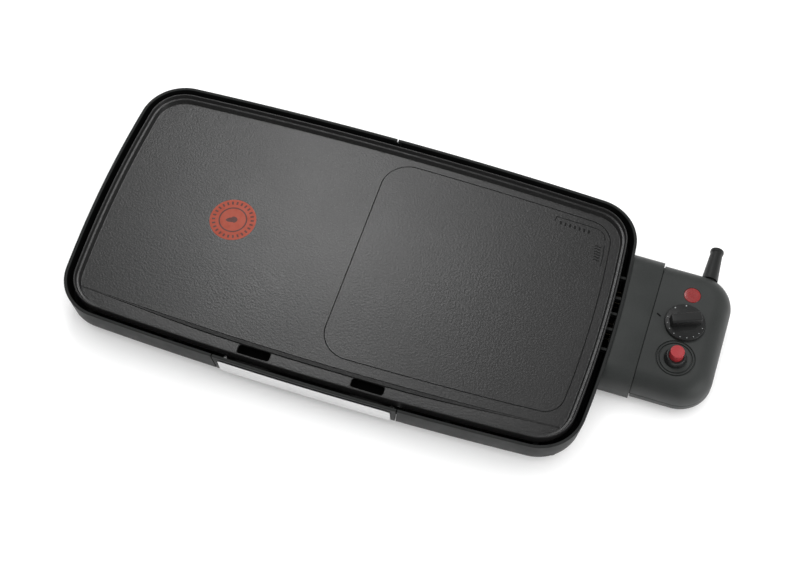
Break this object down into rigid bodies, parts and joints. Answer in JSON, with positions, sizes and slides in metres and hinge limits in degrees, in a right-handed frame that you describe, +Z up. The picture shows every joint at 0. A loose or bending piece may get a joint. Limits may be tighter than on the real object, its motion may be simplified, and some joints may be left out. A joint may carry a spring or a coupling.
{
  "type": "electric griddle",
  "caption": "Large table-top electric griddle with a bowed rectangular frame, lift-off plate, front drip tray and a plug-in control box with knob and booster button.",
  "frame": {"origin": "on the table, under the middle of the whole object's box", "axes": "+Z up, +X along the griddle's length towards the control box, +Y towards the back, away from the drip tray"},
  "size_m": [0.6356, 0.2928, 0.057],
  "materials": {
    "frame_plastic": "heat-proof matt charcoal plastic with a very fine moulded grain",
    "box_plastic": "matt charcoal plastic, slightly warmer and smoother than the frame",
    "plate_coating": "cast aluminium with a dark speckled non-stick coating",
    "sheet_steel": "aluminised pressed steel sheet",
    "plaque_metal": "satin metal strip with a bright bevelled edge",
    "element_steel": "steel-sheathed tubular heating element, heat tinted",
    "contact_brass": "plated brass contact",
    "ceramic": null,
    "tray_plastic": "satin black moulded plastic",
    "rubber": "soft black rubber",
    "knob_plastic": "satin black plastic with pale dial dots",
    "red_plastic": "satin red plastic",
    "red_lens": "translucent red lens",
    "lamp_glass": "neon lamp glass",
    "screw_steel": "zinc-plated pan-head screw",
    "spring_steel": "bright steel",
    "module_plastic": "cream heat-proof moulding compound"
  },
  "bodies": {
    "base": {"frame_left": "frame_plastic", "frame_right": "frame_plastic", "base_pan": "sheet_steel", "connector_cover": "box_plastic", "neck_underplate": "box_plastic", "foot_front_left": "rubber", "foot_front_right": "rubber", "foot_back_left": "rubber", "foot_back_right": "rubber", "base_screw_1": "screw_steel", "base_screw_2": "screw_steel", "base_screw_3": "screw_steel", "base_screw_4": "screw_steel", "base_screw_5": "screw_steel", "base_screw_6": "screw_steel", "neck_screw_1": "screw_steel", "neck_screw_2": "screw_steel"},
    "plate": {"cooking_plate": "plate_coating", "main_heating_element": "element_steel", "booster_heating_element": "element_steel", "terminal_insulator": "ceramic", "terminal_pin_1": "contact_brass", "terminal_pin_2": "contact_brass", "terminal_pin_3": "contact_brass", "terminal_pin_4": "contact_brass", "element_clip_1": "sheet_steel", "element_clip_2": "sheet_steel", "element_clip_3": "sheet_steel", "element_clip_4": "sheet_steel"},
    "tray": {"drip_tray": "tray_plastic", "drip_tray_front": "frame_plastic", "tray_plaque": "plaque_metal"},
    "control_unit": {"control_box_top": "box_plastic", "control_box_bottom": "box_plastic", "thermostat_body": "module_plastic", "thermostat_probe": "spring_steel", "connector_block": "module_plastic", "indicator_lens": "red_lens", "indicator_lamp": "lamp_glass", "booster_switch": "module_plastic", "button_collar": "knob_plastic", "strain_relief": "rubber", "cord_clamp": "module_plastic", "button_spring": "spring_steel", "contact_fork_1": "contact_brass", "contact_fork_2": "contact_brass", "contact_fork_3": "contact_brass", "contact_fork_4": "contact_brass", "box_screw_1": "screw_steel", "box_screw_2": "screw_steel", "box_screw_3": "screw_steel", "box_screw_4": "screw_steel"},
    "dial": {"knob": "knob_plastic", "knob_shaft": "spring_steel"},
    "button": {"booster_button": "red_plastic"}
  },
  "joints": [
    {"name": "plate_lift", "type": "slide", "parent": "base", "child": "plate", "axis": [0, 0, 1], "range_m": [0, 0.06]},
    {"name": "tray_slide", "type": "slide", "parent": "base", "child": "tray", "axis": [0, -1, 0], "range_m": [0, 0.1]},
    {"name": "control_unplug", "type": "slide", "parent": "base", "child": "control_unit", "axis": [1, 0, 0], "range_m": [0, 0.06]},
    {"name": "knob_turn", "type": "hinge", "parent": "control_unit", "child": "dial", "pos_m": [0.27705, 0.0321, 0.042], "axis": [0, 0, 1], "range_deg": [-270, 0]},
    {"name": "booster_press", "type": "slide", "parent": "control_unit", "child": "button", "axis": [0, 0, -1], "range_m": [0, 0.0025], "stiffness_N_per_m": 400, "springref_m": -0.002, "deforming": ["button_spring"]}
  ]
}
